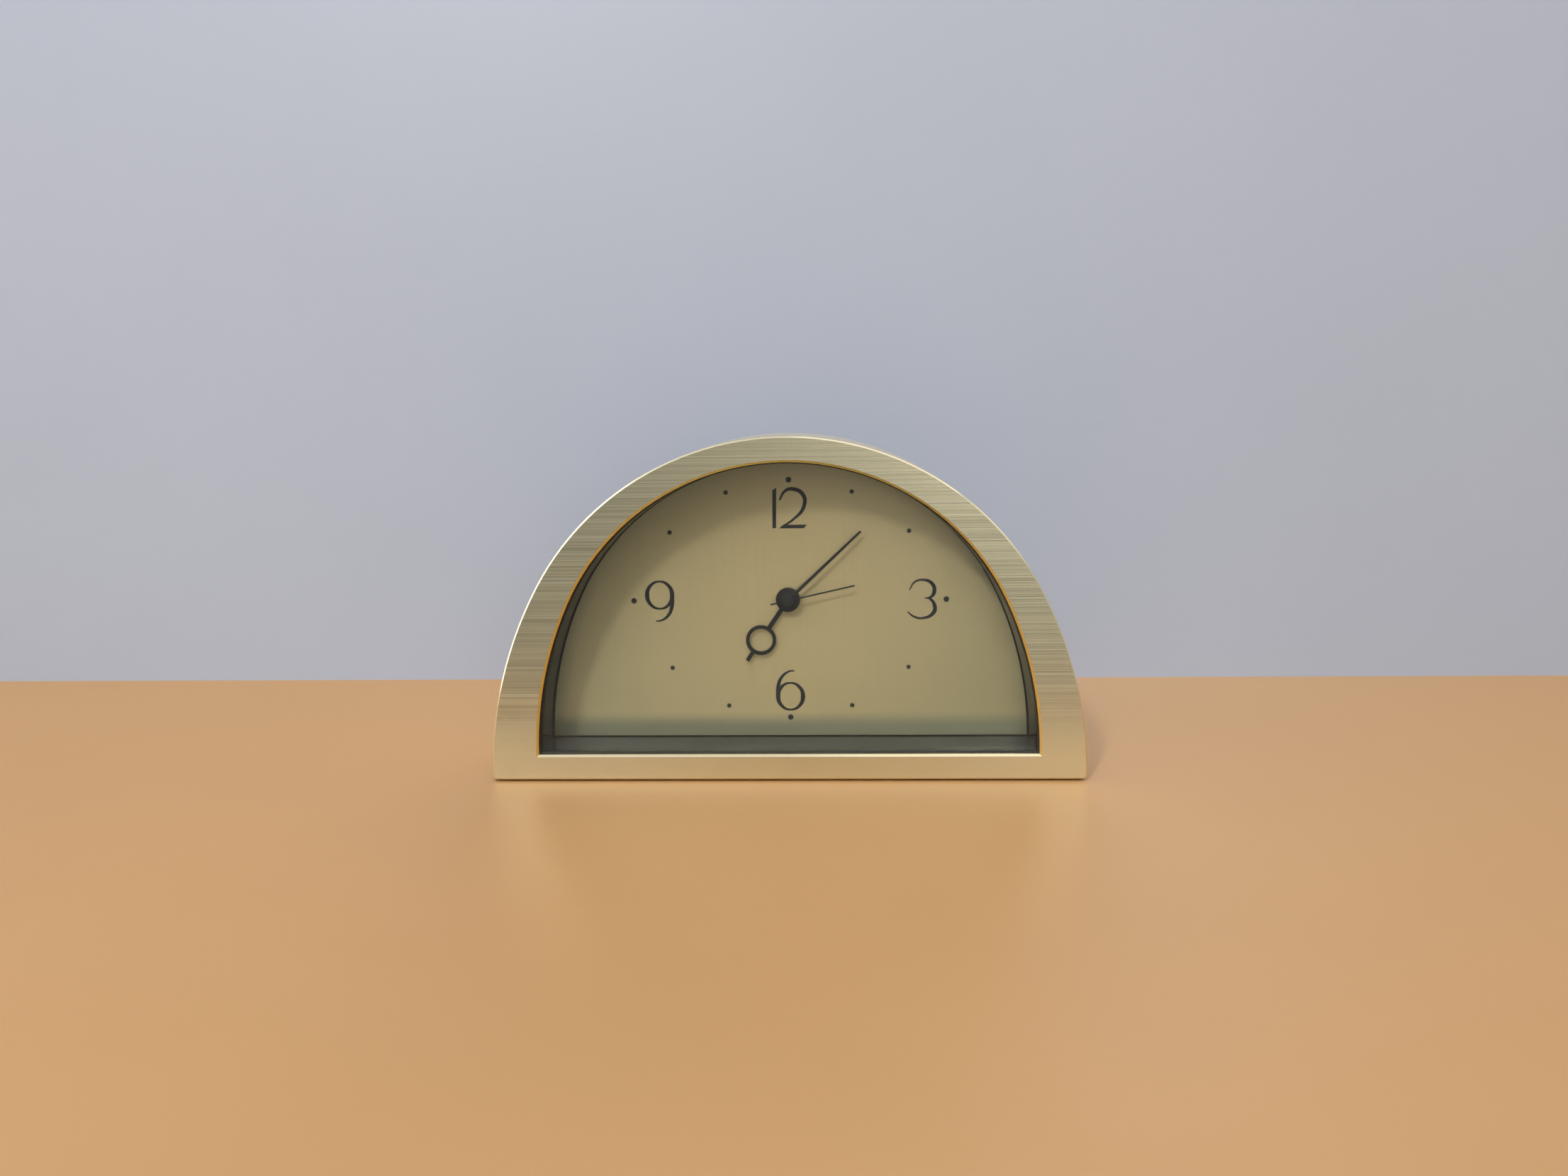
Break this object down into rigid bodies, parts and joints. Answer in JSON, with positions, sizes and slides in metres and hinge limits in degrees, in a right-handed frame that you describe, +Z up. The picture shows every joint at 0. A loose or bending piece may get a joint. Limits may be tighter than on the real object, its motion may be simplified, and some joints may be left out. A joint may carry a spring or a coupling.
{
  "type": "desk clock",
  "caption": "Half-round brass desk clock with a recessed champagne dial under glass, baton hands, and a quartz movement with hand setting and battery door at the back.",
  "frame": {"origin": "on the table under the middle of the case, halfway between its front and back", "axes": "+X to the right seen from the front, +Y from the front to the back, +Z up"},
  "size_m": [0.19, 0.05, 0.1096],
  "materials": {
    "frame_brass": "brushed across, polished edge bevel",
    "shell_brass": "satin",
    "pad_rubber": "matt",
    "gasket_rubber": "matt",
    "lens_glass": "clear, polished",
    "surround_black": "matt, lightly dusty",
    "dial_champagne": "fine upright brushing under clear lacquer",
    "screw_steel": "zinc plated",
    "clip_steel": "spring steel",
    "movement_black": "moulded, fine texture",
    "bridge_plastic": "moulded",
    "stator_iron": "stamped",
    "bobbin_plastic": "moulded",
    "coil_copper": "enamelled wire",
    "board_green": "solder mask",
    "crystal_can": "drawn metal can",
    "chip_resin": "poured resin",
    "wheel_plastic": "moulded, natural acetal",
    "magnet_grey": "sintered",
    "hand_black": "dull black paint",
    "knob_black": "moulded",
    "cell_sleeve": "plain printed sleeve without text",
    "contact_nickel": "nickel plated",
    "cover_black": "moulded, fine texture"
  },
  "bodies": {
    "case": {"front_frame": "frame_brass", "case_shell": "shell_brass", "foot_pads": "pad_rubber", "lens_gasket": "gasket_rubber", "lens": "lens_glass", "dial_surround": "surround_black", "front_screws": "screw_steel", "dial_plate": "dial_champagne", "dial_screws": "screw_steel", "movement_clips": "clip_steel", "movement_housing": "movement_black", "movement_lid": "movement_black", "movement_screws": "screw_steel", "train_bridge": "bridge_plastic", "bridge_screws": "screw_steel", "stator": "stator_iron", "coil_core": "stator_iron", "stator_screws": "screw_steel", "coil_bobbin": "bobbin_plastic", "coil_winding": "coil_copper", "circuit_board": "board_green", "quartz_crystal": "crystal_can", "timing_chip": "chip_resin", "dry_cell": "cell_sleeve", "positive_contact": "contact_nickel", "negative_contact": "contact_nickel", "back_cover": "cover_black", "cover_screws": "screw_steel"},
    "rotor": {"rotor_pinion": "wheel_plastic", "rotor_magnet": "magnet_grey"},
    "intermediate": {"intermediate_wheel": "wheel_plastic"},
    "seconds": {"seconds_wheel": "wheel_plastic", "second_hand": "hand_black"},
    "third": {"third_wheel": "wheel_plastic"},
    "centre": {"centre_wheel": "wheel_plastic"},
    "minute": {"minute_pipe": "wheel_plastic", "minute_hand": "hand_black"},
    "setting": {"minute_wheel": "wheel_plastic", "setting_knob": "knob_black"},
    "hour": {"hour_wheel": "wheel_plastic", "hour_hand": "hand_black"},
    "door": {"battery_door": "cover_black"}
  },
  "joints": [
    {"name": "seconds_spin", "type": "hinge", "parent": "case", "child": "seconds", "pos_m": [0, 0, 0.0557], "axis": [0, 1, 0], "continuous": true},
    {"name": "intermediate_spin", "type": "hinge", "parent": "case", "child": "intermediate", "pos_m": [0.0036, 0, 0.06193], "axis": [0, 1, 0], "continuous": true},
    {"name": "rotor_spin", "type": "hinge", "parent": "case", "child": "rotor", "pos_m": [0.00966, 0, 0.06543], "axis": [0, 1, 0], "continuous": true},
    {"name": "third_spin", "type": "hinge", "parent": "case", "child": "third", "pos_m": [-0.00904, 0, 0.05729], "axis": [0, 1, 0], "continuous": true},
    {"name": "centre_spin", "type": "hinge", "parent": "case", "child": "centre", "pos_m": [0, 0, 0.0557], "axis": [0, 1, 0], "continuous": true},
    {"name": "minute_spin", "type": "hinge", "parent": "case", "child": "minute", "pos_m": [0, 0, 0.0557], "axis": [0, 1, 0], "continuous": true},
    {"name": "setting_spin", "type": "hinge", "parent": "case", "child": "setting", "pos_m": [0.0102, 0, 0.0557], "axis": [0, 1, 0], "continuous": true},
    {"name": "hour_spin", "type": "hinge", "parent": "case", "child": "hour", "pos_m": [0, 0, 0.0557], "axis": [0, 1, 0], "continuous": true},
    {"name": "door_hinge", "type": "hinge", "parent": "case", "child": "door", "pos_m": [0, 0.0203, 0.026], "axis": [-1, 0, 0], "range_deg": [0, 90]}
  ],
  "couplings": [
    {"joint": "intermediate_spin", "follows": "seconds_spin", "ratio": -5},
    {"joint": "rotor_spin", "follows": "seconds_spin", "ratio": 30},
    {"joint": "third_spin", "follows": "seconds_spin", "ratio": -0.13333},
    {"joint": "centre_spin", "follows": "seconds_spin", "ratio": 0.016667},
    {"joint": "setting_spin", "follows": "minute_spin", "ratio": -0.25},
    {"joint": "hour_spin", "follows": "minute_spin", "ratio": 0.083333}
  ]
}
